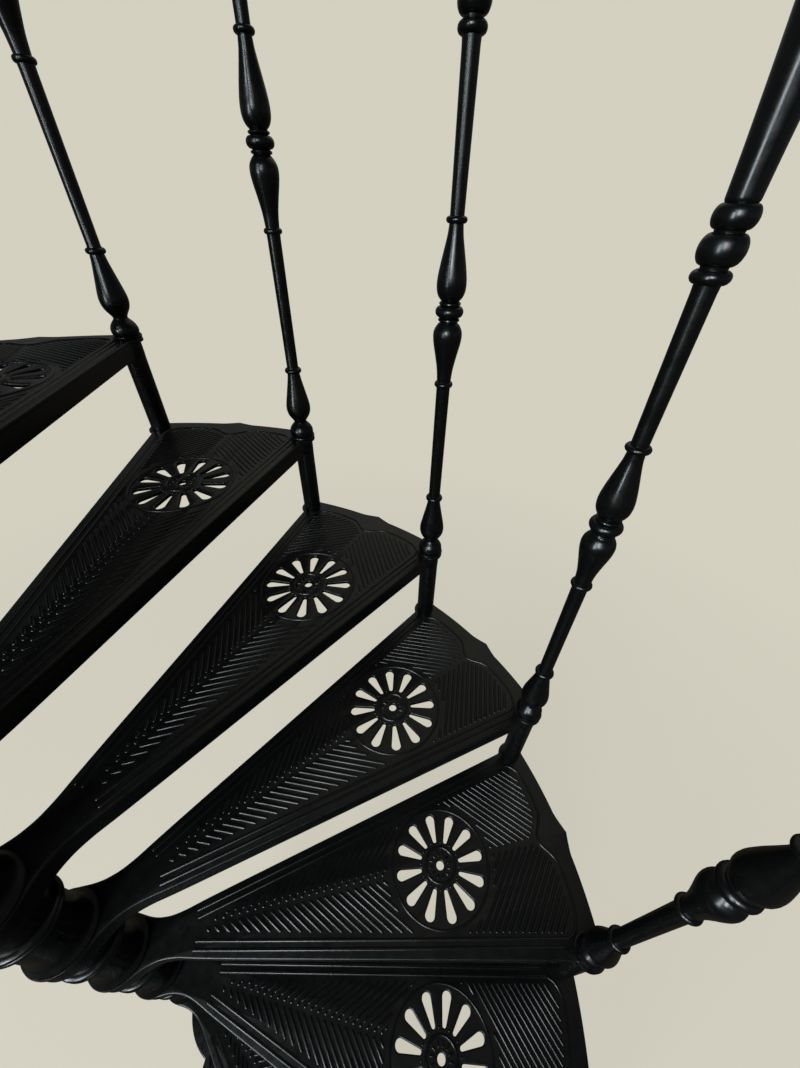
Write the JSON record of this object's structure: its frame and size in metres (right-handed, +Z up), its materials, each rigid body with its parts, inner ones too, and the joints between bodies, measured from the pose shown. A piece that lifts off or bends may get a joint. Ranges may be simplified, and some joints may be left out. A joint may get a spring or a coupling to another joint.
{
  "type": "spiral staircase",
  "caption": "Cast metal spiral staircase with perforated rosette treads, a central newel, turned balusters, spacer tubes and a helical handrail.",
  "frame": {"origin": "on the floor at the newel's axis, in the middle of the base flange's lower face", "axes": "+Z up along the newel; +X points at the front corner of the first tread, and the stair climbs anticlockwise seen from above"},
  "size_m": [1.6456, 1.6352, 3.6573],
  "materials": {
    "castings": "black paint, satin to semi-gloss",
    "handrail": "black paint, semi-gloss"
  },
  "bodies": {
    "root": {"base_flange": "castings", "newel_pole": "castings", "newel_sleeves": "castings", "newel_finial": "castings", "spacer_tubes": "castings", "landing_plate": "castings", "tread_01": "castings", "tread_02": "castings", "tread_03": "castings", "tread_04": "castings", "tread_05": "castings", "tread_06": "castings", "tread_07": "castings", "tread_08": "castings", "tread_09": "castings", "tread_10": "castings", "tread_11": "castings", "tread_12": "castings", "tread_13": "castings", "baluster_01": "castings", "baluster_02": "castings", "baluster_03": "castings", "baluster_04": "castings", "baluster_05": "castings", "baluster_06": "castings", "baluster_07": "castings", "baluster_08": "castings", "baluster_09": "castings", "baluster_10": "castings", "baluster_11": "castings", "baluster_12": "castings", "baluster_13": "castings", "baluster_14": "castings", "handrail_1": "handrail", "handrail_2": "handrail", "handrail_3": "handrail", "handrail_4": "handrail"}
  },
  "joints": []
}
